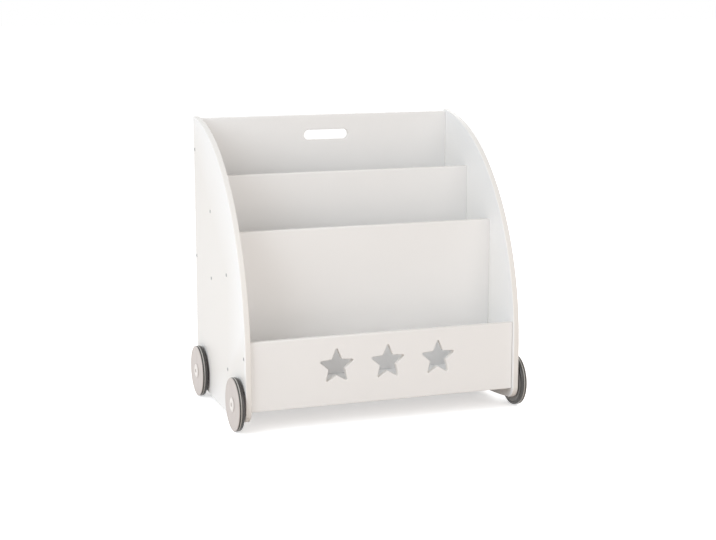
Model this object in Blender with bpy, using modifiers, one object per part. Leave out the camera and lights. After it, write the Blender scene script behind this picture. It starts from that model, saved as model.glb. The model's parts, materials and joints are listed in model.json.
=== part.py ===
# Rolling bookcase for children: two curved side panels carry a back panel, two dividers, a low front
# panel with three star cut-outs and three bay floors. Four wheels turn on bolts outside the side panels.
# Metres, +Z up, front towards -Y, origin on the floor under the middle of the whole, wheels included.

import math

import bmesh
import bpy
from mathutils import Vector

# Driving dimensions of the boards
WIDTH = 0.600               # over both side panels
DEPTH = 0.400               # side panel, front edge to rear edge
BOARD = 0.012               # thickness of every board
SIDE_BOTTOM = 0.0095        # lowest point of the side panels, in the middle of their curved underside
UNDERSIDE_RADIUS = 1.25     # the underside is a shallow arc that rises towards both wheels
SIDE_TOP = 0.610            # top of the side panels at their rear edge
CURVE_START = 0.140         # height where the straight front edge turns into the curve
CROWN_BEHIND = 0.030        # the curve would peak this far behind the rear edge
CORNER_RADIUS = 0.030       # rounded lower corners of the side panels
TOP_CORNER_RADIUS = 0.004   # rounded upper rear corner of the side panels
ARRIS = 0.0015              # rounding of the boards' edges
PANEL_BOTTOM = 0.045        # lower edge of the front panel, the front divider and the back panel
REAR_DIVIDER_BOTTOM = 0.190
FRONT_TOP = 0.189
FRONT_DIVIDER_TOP = 0.392
REAR_DIVIDER_TOP = 0.494
BACK_BELOW_SIDE = 0.004     # back panel's top edge below the top of the side panels
FRONT_INSET = 0.008         # front panel behind the front edge of the sides
BACK_INSET = 0.004          # back panel before the rear edge of the sides
FRONT_FLOOR_ABOVE_AXLE = 0.011      # underside of the front bay floor, clear of the lock nuts
MIDDLE_FLOOR_LOW = 0.202    # undersides of the other two bay floors
REAR_FLOOR_LOW = 0.288

# Handle slot in the back panel and stars in the front panel
SLOT_LENGTH = 0.104
SLOT_HEIGHT = 0.022
SLOT_BELOW_TOP = 0.044      # middle of the slot under the top of the back panel
STAR_COUNT = 3
STAR_PITCH = 0.1115
STAR_SHIFT = 0.0065         # the row of stars sits this far to the right of the middle
STAR_RADIUS = 0.0416        # middle to a point before its tip is rounded
STAR_WAIST = 0.45           # inner corners as a share of the radius
STAR_TIP_ROUND = 0.0028
STAR_BELOW_TOP = 0.0635     # middle of the stars under the top of the front panel

# Fasteners
SCREW_HEAD = 0.008          # head diameter of the side screws
SCREW_SHANK = 0.0042
SCREW_LENGTH = 0.040
SCREW_SOCKET = 0.004        # hexagon across flats
SCREW_SOCKET_DEPTH = 0.0018
HOUSING_DEPTH = 0.003       # grooves that hold the long edges of the bay floors
# For each standing board: its lowest screw above its lower edge, and its highest below its upper edge
SCREW_MARGINS = {
    "back_panel": (0.025, 0.068),
    "rear_divider": (0.085, 0.075),
    "front_divider": (0.060, 0.088),
    "front_panel": (0.040, 0.034),
}
SCREW_COUNT = {"back_panel": 3, "rear_divider": 2, "front_divider": 2, "front_panel": 2}

# Wheels: s is the distance outwards from the outer face of a side panel
WHEEL_RADIUS = 0.055
WHEEL_WIDTH = 0.013
WHEEL_GAP = 0.0035          # side panel to wheel
FRONT_AXLE_INSET = 0.046    # axle behind the front edge of the sides
REAR_AXLE_INSET = 0.056     # axle before the rear edge of the sides
COVER_THICKNESS = 0.0018    # light disc on the outer face
HUB_LENGTH = 0.0073
HUB_RADIUS = 0.011
RIM_THICKNESS = 0.0035
WEB_THICKNESS = 0.0035
COVER_EDGE = 0.0012         # chamfer of the cover disc
COVER_HOLE_RADIUS = 0.0102
TYRE_WALL = 0.0067          # tread to the bore of the tyre
TYRE_SHOULDER = 0.0012
STRIPE_WIDTH = 0.0022
STRIPE_FROM_FACE = 0.0042   # outer face of the wheel to the stripe
STRIPE_DEPTH = 0.0013
AXLE_RADIUS = 0.004
CAP_RADIUS = 0.015
CAP_HEIGHT = 0.0020
CAP_BEVEL = 0.0015
CAP_EDGE = 0.0005
CAP_SKIRT_WALL = 0.0012     # short sleeve that holds the cap in the cover's hole
DIMPLE_RADIUS = 0.0055
DIMPLE_DEPTH = 0.0007
DIMPLE_SLOPE = 0.0008
BOLT_HEAD_RADIUS = 0.007
BOLT_HEAD_HEIGHT = 0.0026
BOLT_HEAD_BEVEL = 0.002
BOLT_HEAD_EDGE = 0.001
BOLT_END = 0.0015           # thread that shows past the nut
NUT_FLATS = 0.013
NUT_HEIGHT = 0.0065
FLANGE_RADIUS = 0.008       # washer face of the lock nut
FLANGE_HEIGHT = 0.0018
SPACER_RADIUS = 0.009

GAP = 0.0003                # between pieces that touch
CUT = 0.002                 # how far a cutter reaches past a face
WHEEL_STEPS = 28
CAP_STEPS = 20
SMALL_STEPS = 12
SCREW_STEPS = 8
MERGE = 0.00001

# Sizes that follow from the ones above
BACK_TOP = SIDE_TOP - BACK_BELOW_SIDE
FRONT_FLOOR_LOW = WHEEL_RADIUS + FRONT_FLOOR_ABOVE_AXLE
HALF_INNER = WIDTH / 2 - BOARD
WHEEL_OVERHANG = WHEEL_RADIUS - FRONT_AXLE_INSET    # front wheels before the front edge of the sides
FRONT_Y = (WHEEL_OVERHANG - DEPTH) / 2
REAR_Y = (WHEEL_OVERHANG + DEPTH) / 2
FRONT_PANEL_Y = FRONT_Y + FRONT_INSET + BOARD / 2
BACK_PANEL_Y = REAR_Y - BACK_INSET - BOARD / 2
BAY_PITCH = (BACK_PANEL_Y - FRONT_PANEL_Y) / 3
FRONT_DIVIDER_Y = FRONT_PANEL_Y + BAY_PITCH
REAR_DIVIDER_Y = FRONT_PANEL_Y + 2 * BAY_PITCH
# Each standing board: its middle plane, lower edge and upper edge
STANDING = {
    "back_panel": (BACK_PANEL_Y, PANEL_BOTTOM, BACK_TOP),
    "rear_divider": (REAR_DIVIDER_Y, REAR_DIVIDER_BOTTOM, REAR_DIVIDER_TOP),
    "front_divider": (FRONT_DIVIDER_Y, PANEL_BOTTOM, FRONT_DIVIDER_TOP),
    "front_panel": (FRONT_PANEL_Y, PANEL_BOTTOM, FRONT_TOP),
}
# The bay floors lie between these pairs of standing boards
FLOORS = {
    "front_bay_floor": (FRONT_PANEL_Y, FRONT_DIVIDER_Y, FRONT_FLOOR_LOW),
    "middle_bay_floor": (FRONT_DIVIDER_Y, REAR_DIVIDER_Y, MIDDLE_FLOOR_LOW),
    "rear_bay_floor": (REAR_DIVIDER_Y, BACK_PANEL_Y, REAR_FLOOR_LOW),
}
AXLES = {"front": FRONT_Y + FRONT_AXLE_INSET, "rear": REAR_Y - REAR_AXLE_INSET}
SIDES = {"left": -1, "right": 1}


def clear_scene():
    for old in list(bpy.data.objects):
        bpy.data.objects.remove(old, do_unlink=True)


def new_collection(name):
    collection = bpy.data.collections.new(name)
    bpy.context.scene.collection.children.link(collection)
    return collection


clear_scene()
PARTS = new_collection("rolling_bookcase")
CUTTERS = new_collection("cutters")


def material(name, colour, roughness, metallic=0.0):
    mat = bpy.data.materials.new(name)
    mat.use_nodes = True
    shader = mat.node_tree.nodes["Principled BSDF"]
    shader.inputs["Base Color"].default_value = (*colour, 1.0)
    shader.inputs["Roughness"].default_value = roughness
    shader.inputs["Metallic"].default_value = metallic
    mat.diffuse_color = (*colour, 1.0)
    return mat


def own_material(obj, look):
    """Gives a piece its own material, named after it, in one of the looks below."""
    colour, roughness, metallic = look
    obj.data.materials.clear()
    obj.data.materials.append(material(obj.name, colour, roughness, metallic))


WHITE_LACQUER = ((0.86, 0.85, 0.83), 0.38, 0.0)
ZINC_STEEL = ((0.42, 0.42, 0.41), 0.35, 1.0)
DARK_RUBBER = ((0.060, 0.060, 0.058), 0.70, 0.0)
GREY_RUBBER = ((0.36, 0.36, 0.35), 0.65, 0.0)
GREY_PLASTIC = ((0.11, 0.11, 0.11), 0.50, 0.0)
CREAM_PLASTIC = ((0.68, 0.67, 0.64), 0.42, 0.0)
LIGHT_PLASTIC = ((0.76, 0.75, 0.71), 0.35, 0.0)
WHITE_NYLON = ((0.70, 0.70, 0.68), 0.50, 0.0)


def place(obj, collection):
    collection.objects.link(obj)
    return obj


def mesh_object(name, mesh, collection=PARTS):
    return place(bpy.data.objects.new(name, mesh), collection)


def as_cutter(obj):
    obj.hide_render = True
    obj.display_type = "WIRE"
    return obj


def outline_mesh(name, outlines, thickness):
    """A flat plate centred on the local XY plane: the first outline is its edge, the rest are holes."""
    curve = bpy.data.curves.new(name, "CURVE")
    curve.dimensions = "2D"
    curve.fill_mode = "BOTH"
    curve.extrude = thickness / 2
    for outline in outlines:
        spline = curve.splines.new("POLY")
        spline.points.add(len(outline) - 1)
        for point, (x, y) in zip(spline.points, outline):
            point.co = (x, y, 0.0, 1.0)
        spline.use_cyclic_u = True
    holder = bpy.data.objects.new(name, curve)
    bpy.context.scene.collection.objects.link(holder)
    depsgraph = bpy.context.evaluated_depsgraph_get()
    mesh = bpy.data.meshes.new_from_object(holder.evaluated_get(depsgraph))
    bpy.data.objects.remove(holder, do_unlink=True)
    bm = bmesh.new()
    bm.from_mesh(mesh)
    bmesh.ops.remove_doubles(bm, verts=bm.verts, dist=MERGE)
    bmesh.ops.dissolve_limit(bm, angle_limit=math.radians(1), verts=bm.verts, edges=bm.edges)
    bm.to_mesh(mesh)
    bm.free()
    mesh.name = name
    return mesh


FACING = {
    "side": (math.pi / 2, 0.0, math.pi / 2),    # outline in world Y and Z
    "front": (math.pi / 2, 0.0, 0.0),           # outline in world X and Z
    "flat": (0.0, 0.0, 0.0),                    # outline in world X and Y
}


def mark_arrises(mesh, butt_x):
    """Marks the edges round the two flat faces, but not where a board's end butts at +-butt_x."""
    weight = mesh.attributes.new("bevel_weight_edge", "FLOAT", "EDGE")
    for edge in mesh.edges:
        a, b = (mesh.vertices[i].co for i in edge.vertices)
        round_a_face = abs(a.z - b.z) < MERGE
        at_an_end = butt_x is not None and min(abs(a.x), abs(b.x)) > butt_x - MERGE
        weight.data[edge.index].value = 1.0 if round_a_face and not at_an_end else 0.0


def board(name, outlines, facing, location, butt_x=None):
    """A board of the common thickness with rounded arrises, square at the ends that butt at +-butt_x."""
    mesh = outline_mesh(name, outlines, BOARD)
    mark_arrises(mesh, butt_x)
    obj = mesh_object(name, mesh)
    obj.rotation_euler = FACING[facing]
    obj.location = location
    rounding = obj.modifiers.new("arris", "BEVEL")
    rounding.width = ARRIS
    rounding.segments = 2
    rounding.limit_method = "WEIGHT"
    own_material(obj, WHITE_LACQUER)
    return obj


def cut(obj, cutter):
    step = obj.modifiers.new(cutter.name, "BOOLEAN")
    step.operation = "DIFFERENCE"
    step.solver = "EXACT"
    step.object = cutter


def join_meshes(name, pieces, collection):
    """One mesh object from several placed mesh objects, which are removed."""
    bm = bmesh.new()
    depsgraph = bpy.context.evaluated_depsgraph_get()
    for piece in pieces:
        mesh = bpy.data.meshes.new_from_object(piece.evaluated_get(depsgraph))
        mesh.transform(piece.matrix_world)
        bm.from_mesh(mesh)
        bpy.data.meshes.remove(mesh)
        bpy.data.objects.remove(piece, do_unlink=True)
    mesh = bpy.data.meshes.new(name)
    bm.to_mesh(mesh)
    bm.free()
    return mesh_object(name, mesh, collection)


def arc(centre, radii, start, end, steps):
    """Points on an ellipse's arc, angles in degrees from +X."""
    points = []
    for i in range(steps + 1):
        a = math.radians(start + (end - start) * i / steps)
        points.append((centre[0] + radii[0] * math.cos(a), centre[1] + radii[1] * math.sin(a)))
    return points


def rectangle(x0, x1, y0, y1):
    return [(x0, y0), (x1, y0), (x1, y1), (x0, y1)]


def side_outline():
    """Side panel in Y and Z: arched underside, straight front edge, then a quarter of an ellipse back."""
    reach = DEPTH + CROWN_BEHIND
    crown_y = FRONT_Y + reach
    rear_angle = math.acos((REAR_Y - TOP_CORNER_RADIUS - crown_y) / reach)
    full_angle = math.acos((REAR_Y - crown_y) / reach)
    rise = (SIDE_TOP - CURVE_START) / math.sin(full_angle)
    r = CORNER_RADIUS
    between = UNDERSIDE_RADIUS - r
    lean = math.asin((DEPTH / 2 - r) / between)
    low_z = SIDE_BOTTOM + UNDERSIDE_RADIUS - between * math.cos(lean)
    middle = ((FRONT_Y + REAR_Y) / 2, SIDE_BOTTOM + UNDERSIDE_RADIUS)
    rear_end = 270 + math.degrees(lean)
    front_end = 270 - math.degrees(lean)
    points = arc((REAR_Y - r, low_z), (r, r), 360, rear_end, 5)
    points += arc(middle, (UNDERSIDE_RADIUS, UNDERSIDE_RADIUS), rear_end, front_end, 10)[1:-1]
    points += arc((FRONT_Y + r, low_z), (r, r), front_end, 180, 5)
    points += arc((crown_y, CURVE_START), (reach, rise), 180, math.degrees(rear_angle), 20)
    corner_y = REAR_Y - TOP_CORNER_RADIUS
    corner_z = CURVE_START + rise * math.sin(rear_angle) - TOP_CORNER_RADIUS
    points += arc((corner_y, corner_z), (TOP_CORNER_RADIUS, TOP_CORNER_RADIUS), 90, 0, 3)[1:]
    return points


def star_outline(centre_x, centre_z):
    """A five-pointed star whose five tips are rounded by short arcs tangent to their flanks."""
    points = []
    for k in range(5):
        tip_angle = math.radians(90 + 72 * k)
        tip = Vector((math.cos(tip_angle), math.sin(tip_angle))) * STAR_RADIUS
        waists = []
        for turn in (-36, 36):
            a = tip_angle + math.radians(turn)
            waists.append(Vector((math.cos(a), math.sin(a))) * STAR_RADIUS * STAR_WAIST)
        half = (waists[0] - tip).angle(-tip)
        back = STAR_TIP_ROUND / math.sin(half)
        middle = tip - tip.normalized() * back
        sweep = math.pi / 2 - half
        for i in range(4):
            a = tip_angle - sweep + 2 * sweep * i / 3
            points.append(middle + Vector((math.cos(a), math.sin(a))) * STAR_TIP_ROUND)
        points.append(waists[1])
    return [(centre_x + p.x, centre_z + p.y) for p in points]


def slot_outline():
    """Handle slot with half-round ends, in X and Z."""
    end = SLOT_HEIGHT / 2
    reach = SLOT_LENGTH / 2 - end
    z = BACK_TOP - SLOT_BELOW_TOP
    return arc((reach, z), (end, end), -90, 90, 8) + arc((-reach, z), (end, end), 90, 270, 8)


def rod(name, radius, x0, x1, y, z, steps=SMALL_STEPS, collection=CUTTERS):
    """A cylinder along X from x0 to x1."""
    bm = bmesh.new()
    length = abs(x1 - x0)
    bmesh.ops.create_cone(bm, cap_ends=True, segments=steps, radius1=radius, radius2=radius, depth=length)
    mesh = bpy.data.meshes.new(name)
    bm.to_mesh(mesh)
    bm.free()
    obj = mesh_object(name, mesh, collection)
    obj.rotation_euler = (0.0, math.pi / 2, 0.0)
    obj.location = ((x0 + x1) / 2, y, z)
    return obj


def turned(name, profile, side, y, z, steps, collection=PARTS, closed=True):
    """A turned piece about an axle. The profile holds (radius, s) pairs, s outwards from the side panel."""
    bm = bmesh.new()
    verts = [bm.verts.new((radius, 0.0, s)) for radius, s in profile]
    for a, b in zip(verts, verts[1:]):
        bm.edges.new((a, b))
    if closed:
        bm.edges.new((verts[-1], verts[0]))
    mesh = bpy.data.meshes.new(name)
    bm.to_mesh(mesh)
    bm.free()
    obj = mesh_object(name, mesh, collection)
    obj.rotation_euler = (0.0, side * math.pi / 2, 0.0)
    obj.location = (side * WIDTH / 2, y, z)
    screw = obj.modifiers.new("turn", "SCREW")
    screw.axis = "Z"
    screw.angle = 2 * math.pi
    screw.steps = steps
    screw.render_steps = steps
    screw.use_merge_vertices = True
    screw.merge_threshold = MERGE
    return obj


def screw_heights(name):
    """Evenly spaced heights between the margins at the two ends of a standing board."""
    _, bottom, top = STANDING[name]
    low_margin, high_margin = SCREW_MARGINS[name]
    count = SCREW_COUNT[name]
    low = bottom + low_margin
    high = top - high_margin
    return [low + (high - low) * i / (count - 1) for i in range(count)]


def side_screws(side_name, side):
    """The countersunk socket screws of one side, and the cutter for their holes."""
    outer = side * WIDTH / 2
    head = SCREW_HEAD / 2
    shank = SCREW_SHANK / 2
    cone = head - shank
    body = [(0.0, 0.0), (head, 0.0), (head, -GAP), (shank, -GAP - cone), (shank, -SCREW_LENGTH),
            (0.0, -SCREW_LENGTH)]
    room = head + GAP
    bore = shank + GAP
    hole = [(0.0, CUT), (room, CUT), (room, -2 * GAP), (bore, -2 * GAP - cone), (bore, -SCREW_LENGTH - GAP),
            (0.0, -SCREW_LENGTH - GAP)]
    holes = []
    for name, (y, _, _) in STANDING.items():
        for number, z in enumerate(screw_heights(name), 1):
            screw_name = f"{name}_screw_{side_name}_{number}"
            screw = turned(screw_name, body, side, y, z, SCREW_STEPS, closed=False)
            own_material(screw, ZINC_STEEL)
            key_width = SCREW_SOCKET / math.sqrt(3)
            bottom = outer - side * SCREW_SOCKET_DEPTH
            cut(screw, as_cutter(rod("screw_socket", key_width, bottom, outer + side * CUT, y, z, 6)))
            holes.append(turned("screw_hole", hole, side, y, z, SCREW_STEPS, CUTTERS, closed=False))
    return as_cutter(join_meshes("screw_holes_" + side_name, holes, CUTTERS))


def housings():
    """The grooves in the standing boards that take the long edges of the floors."""
    grooves = []
    for front_y, rear_y, low in FLOORS.values():
        z = low + BOARD / 2
        for y in (front_y + BOARD / 2, rear_y - BOARD / 2):
            bm = bmesh.new()
            bmesh.ops.create_cube(bm, size=1.0)
            size = (2 * HALF_INNER + 2 * CUT, 2 * HOUSING_DEPTH, BOARD + 2 * GAP)
            bmesh.ops.scale(bm, vec=size, verts=bm.verts)
            mesh = bpy.data.meshes.new("groove")
            bm.to_mesh(mesh)
            bm.free()
            groove = mesh_object("groove", mesh, CUTTERS)
            groove.location = (0.0, y, z)
            grooves.append(groove)
    bpy.context.view_layer.update()
    return as_cutter(join_meshes("housings", grooves, CUTTERS))


def axle_holes():
    holes = []
    for side in SIDES.values():
        for y in AXLES.values():
            start = side * (HALF_INNER - CUT)
            end = side * (WIDTH / 2 + CUT)
            holes.append(rod("axle_hole", AXLE_RADIUS + GAP, start, end, y, WHEEL_RADIUS))
    return as_cutter(join_meshes("axle_holes", holes, CUTTERS))


def carcass():
    """The boards, their fasteners and every hole in them."""
    half = HALF_INNER - GAP
    bolt_holes = axle_holes()
    grooves = housings()
    screw_holes = {}
    for side_name, side in SIDES.items():
        screw_holes[side_name] = side_screws(side_name, side)
        middle = (side * (WIDTH - BOARD) / 2, 0.0, 0.0)
        panel = board("side_panel_" + side_name, [side_outline()], "side", middle)
        cut(panel, screw_holes[side_name])
        cut(panel, bolt_holes)
    for name, (y, low, high) in STANDING.items():
        outlines = [rectangle(-half, half, low, high)]
        if name == "back_panel":
            outlines.append(slot_outline())
        piece = board(name, outlines, "front", (0.0, y, 0.0), half)
        cut(piece, grooves)
        for holes in screw_holes.values():
            cut(piece, holes)
        if name == "front_panel":
            cut(piece, star_cutter())
    for name, (front_y, rear_y, low) in FLOORS.items():
        room = (rear_y - front_y - BOARD) / 2 + HOUSING_DEPTH - GAP
        middle = (0.0, (front_y + rear_y) / 2, low + BOARD / 2)
        board(name, [rectangle(-half, half, -room, room)], "flat", middle, half)


def star_cutter():
    """The three star prisms, cut square through the front panel."""
    prisms = []
    z = FRONT_TOP - STAR_BELOW_TOP
    for i in range(STAR_COUNT):
        x = STAR_SHIFT + (i - (STAR_COUNT - 1) / 2) * STAR_PITCH
        plate = outline_mesh("star", [star_outline(x, z)], BOARD + 2 * CUT)
        prism = mesh_object("star", plate, CUTTERS)
        prism.rotation_euler = FACING["front"]
        prism.location = (0.0, FRONT_PANEL_Y, 0.0)
        prisms.append(prism)
    bpy.context.view_layer.update()
    return as_cutter(join_meshes("stars", prisms, CUTTERS))


def wheel(place_name, side_name):
    """The turning pieces of one wheel: core, tyre with its stripe, light cover disc and hub cap."""
    side = SIDES[side_name]
    y = AXLES[place_name]
    tail = "_" + place_name + "_" + side_name
    inner = WHEEL_GAP
    outer = WHEEL_GAP + WHEEL_WIDTH
    cover_in = outer - COVER_THICKNESS
    seat = cover_in - GAP
    r = WHEEL_RADIUS
    tyre_bore = r - TYRE_WALL
    shoulder = TYRE_SHOULDER
    stripe_out = outer - STRIPE_FROM_FACE
    stripe_in = stripe_out - STRIPE_WIDTH
    groove = r - STRIPE_DEPTH

    def make(name, profile, look, steps, closed=True):
        own_material(turned(name + tail, profile, side, y, r, steps, closed=closed), look)

    tyre = [(tyre_bore, seat), (r - shoulder, seat), (r, seat - shoulder), (r, stripe_out + GAP),
            (groove, stripe_out + GAP), (groove, stripe_in - GAP), (r, stripe_in - GAP),
            (r, inner + 2 * shoulder), (r - shoulder, inner + shoulder / 2), (r - 3 * shoulder, inner),
            (tyre_bore, inner)]
    make("tyre", tyre, DARK_RUBBER, WHEEL_STEPS)
    stripe = [(groove + GAP, stripe_out), (r - GAP, stripe_out), (r - GAP, stripe_in),
              (groove + GAP, stripe_in)]
    make("tyre_stripe", stripe, GREY_RUBBER, WHEEL_STEPS)

    rim_out = tyre_bore - GAP
    rim_in = rim_out - RIM_THICKNESS
    bore = AXLE_RADIUS + GAP
    hub = HUB_RADIUS
    hub_end = inner + HUB_LENGTH
    web_out = inner + WEB_THICKNESS
    core = [(bore, hub_end), (hub, hub_end), (hub, web_out), (rim_in, web_out), (rim_in, seat),
            (rim_out, seat), (rim_out, inner), (bore, inner)]
    make("wheel_core", core, GREY_PLASTIC, WHEEL_STEPS)

    hole = COVER_HOLE_RADIUS
    disc = r - GAP
    cover = [(hole, outer), (disc - COVER_EDGE, outer), (disc, outer - COVER_EDGE), (disc, cover_in),
             (hole, cover_in)]
    make("wheel_cover", cover, CREAM_PLASTIC, WHEEL_STEPS)

    skirt = hole - GAP
    skirt_inside = skirt - CAP_SKIRT_WALL
    cap_low = outer + GAP
    cap_top = outer + CAP_HEIGHT
    cap_floor = cap_top - DIMPLE_DEPTH
    skirt_end = hub_end + 2 * GAP
    cap = [(0.0, cap_floor), (DIMPLE_RADIUS - DIMPLE_SLOPE, cap_floor), (DIMPLE_RADIUS, cap_top),
           (CAP_RADIUS - CAP_BEVEL, cap_top), (CAP_RADIUS, cap_low + CAP_EDGE), (CAP_RADIUS, cap_low),
           (skirt, cap_low), (skirt, skirt_end), (skirt_inside, skirt_end), (skirt_inside, cap_low),
           (0.0, cap_low)]
    make("hub_cap", cap, LIGHT_PLASTIC, CAP_STEPS, closed=False)


def ring(name, inner_radius, outer_radius, s_low, s_high, side, y):
    profile = [(inner_radius, s_high), (outer_radius, s_high), (outer_radius, s_low), (inner_radius, s_low)]
    return turned(name, profile, side, y, WHEEL_RADIUS, SMALL_STEPS)


def axle_hardware(place_name, side_name):
    """The fixed pieces of one axle: bolt, spacer and flanged lock nut."""
    side = SIDES[side_name]
    y = AXLES[place_name]
    tail = "_" + place_name + "_" + side_name
    bore = AXLE_RADIUS + GAP
    head_low = WHEEL_GAP + HUB_LENGTH + GAP
    head_top = head_low + BOLT_HEAD_HEIGHT
    nut_out = -BOARD - GAP
    nut_in = nut_out - NUT_HEIGHT
    bolt_end = nut_in - BOLT_END
    head = BOLT_HEAD_RADIUS
    profile = [(0.0, head_top), (head - BOLT_HEAD_BEVEL, head_top), (head, head_low + BOLT_HEAD_EDGE),
               (head, head_low), (AXLE_RADIUS, head_low), (AXLE_RADIUS, bolt_end), (0.0, bolt_end)]
    bolt = turned("axle_bolt" + tail, profile, side, y, WHEEL_RADIUS, SMALL_STEPS, closed=False)
    own_material(bolt, ZINC_STEEL)
    spacer = ring("wheel_spacer" + tail, bore, SPACER_RADIUS, GAP, WHEEL_GAP - GAP, side, y)
    own_material(spacer, WHITE_NYLON)
    nut_steps = (nut_in, nut_out, nut_out - FLANGE_HEIGHT, nut_in - CUT, nut_out + CUT)
    end, seat, shoulder, bore_end, bore_start = [side * (WIDTH / 2 + s) for s in nut_steps]
    corner = NUT_FLATS / math.sqrt(3)
    nut = rod("axle_nut" + tail, corner, end, seat - side * GAP, y, WHEEL_RADIUS, 6, PARTS)
    own_material(nut, ZINC_STEEL)
    flange = as_cutter(rod("nut_flange", FLANGE_RADIUS, shoulder, seat, y, WHEEL_RADIUS))
    union = nut.modifiers.new("flange", "BOOLEAN")
    union.operation = "UNION"
    union.solver = "EXACT"
    union.object = flange
    cut(nut, as_cutter(rod("nut_bore", bore, bore_end, bore_start, y, WHEEL_RADIUS)))


carcass()
for place_name in AXLES:
    for side_name in SIDES:
        axle_hardware(place_name, side_name)
        wheel(place_name, side_name)
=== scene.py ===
# %% [markdown]
# # A rolling bookcase, piece by piece
#
# The real object is a low white bookcase for a classroom: lacquered fibreboard, a front panel with three
# star cut-outs, and four wheels that run outside the side panels. The exact solids come from a packed
# frame, which also knows where each piece is and which ones turn. This lesson dresses that frame: every
# piece is drawn again with soft edges and a real finish, and rides on the same body as the solid it hides.

# %% Load the frame
import json
import math

import bmesh
import bpy
import numpy as np
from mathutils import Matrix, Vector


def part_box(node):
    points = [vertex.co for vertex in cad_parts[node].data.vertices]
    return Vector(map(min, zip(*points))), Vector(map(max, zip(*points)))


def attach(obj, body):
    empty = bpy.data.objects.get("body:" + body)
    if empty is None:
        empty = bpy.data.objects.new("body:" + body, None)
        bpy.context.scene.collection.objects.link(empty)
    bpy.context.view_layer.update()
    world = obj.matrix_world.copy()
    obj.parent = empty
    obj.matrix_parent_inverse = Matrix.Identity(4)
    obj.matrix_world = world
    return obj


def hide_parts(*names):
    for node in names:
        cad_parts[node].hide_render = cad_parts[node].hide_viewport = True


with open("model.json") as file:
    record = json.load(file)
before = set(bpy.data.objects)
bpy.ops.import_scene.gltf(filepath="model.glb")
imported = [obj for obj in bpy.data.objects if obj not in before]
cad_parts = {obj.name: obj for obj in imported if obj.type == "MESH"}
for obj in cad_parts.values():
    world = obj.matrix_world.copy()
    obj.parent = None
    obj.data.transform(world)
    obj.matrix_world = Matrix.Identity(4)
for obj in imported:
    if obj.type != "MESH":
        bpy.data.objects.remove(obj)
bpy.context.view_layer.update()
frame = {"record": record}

# %% [markdown]
# Sizes are read from the frame wherever a solid shows them, so the dressed pieces fit without guessing.
# Only the curve of the side panels, the stars, the handle slot, the fasteners and the small roundings need
# numbers of their own.

# %% Sizes of the carcass
SIDES = {"left": -1.0, "right": 1.0}
side_low, side_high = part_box("side_panel_right")
BOARD = side_high[0] - side_low[0]      # thickness of every board
HALF_WIDTH = side_high[0]               # middle to the outer face of a side panel
FRONT, REAR = side_low[1], side_high[1]
ARRIS = 0.0015                          # rounding of a sprayed board edge
SOFT = 0.0012                           # flat strip beside a rounding, so that the face itself shades flat
GAP = 0.0003                            # hairline between two pieces that meet
print("board %.1f mm, depth %.0f mm" % (BOARD * 1e3, (REAR - FRONT) * 1e3))
print("height %.0f mm" % (side_high[2] * 1e3))

# %% [markdown]
# ## Small helpers
#
# Colours are written as the hex values a paint chip would carry and turned to the linear values that the
# shader needs. A pattern's scale is given by its real size in millimetres. One function adds any shader
# node, sets its values and links its inputs. A colour mix takes its two colours at inputs 6 and 7 and gives
# the mix at output 2, so these are named by number.

# %% Colour, scale and node helpers
def colour(code):
    """Linear RGBA of an sRGB hex code.

    A channel c becomes ((c + 0.055) / 1.055) ** 2.4, or c / 12.92 where it is dark.
    """
    channels = np.array([int(code[i:i + 2], 16) for i in (1, 3, 5)]) / 255.0
    linear = np.where(channels <= 0.04045, channels / 12.92, ((channels + 0.055) / 1.055) ** 2.4)
    return (*linear.tolist(), 1.0)


def every(millimetres):
    """Texture scale for a pattern of that size: 1000 / size, because coordinates count metres."""
    return 1000.0 / millimetres


def add(tree, kind, settings=None, links=None):
    """Adds a node. settings holds properties and input values by name or number; links holds sockets."""
    node = tree.nodes.new(kind)
    for key, value in (settings or {}).items():
        if isinstance(key, str) and hasattr(node, key):
            setattr(node, key, value)
        else:
            node.inputs[key].default_value = value
    for key, socket in (links or {}).items():
        tree.links.new(socket, node.inputs[key])
    return node


def new_material(name, **values):
    """A material with a Principled shader, and these values on the shader's own sockets."""
    mat = bpy.data.materials.new(name)
    mat.use_nodes = True
    shader = mat.node_tree.nodes["Principled BSDF"]
    for key, value in values.items():
        shader.inputs[key.replace("_", " ")].default_value = value
    return mat, mat.node_tree, shader


print("a pattern of 5 mm has scale", every(5.0))

# %% [markdown]
# ## Finishes
#
# The boards are medium-density fibreboard, sprayed with satin lacquer. A sprayed film is almost one
# colour, with a very faint drift across the sheet, and a soft orange peel that only shows in highlights.
# On the cut edges the board drinks more paint, so the film there is duller and a touch warmer. The peel of
# a real film is about 1 mm from bump to bump; it is drawn at 5 mm, as coarse as a pixel needs.

# %% White satin lacquer on fibreboard
CUT_FROM = {"side_panel_left": 0.0, "side_panel_right": 2.0, "back_panel": 3.0, "rear_divider": 4.0,
            "front_divider": 5.0, "front_panel": 6.0, "front_bay_floor": 8.0, "middle_bay_floor": 9.0,
            "rear_bay_floor": 10.0}


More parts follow.
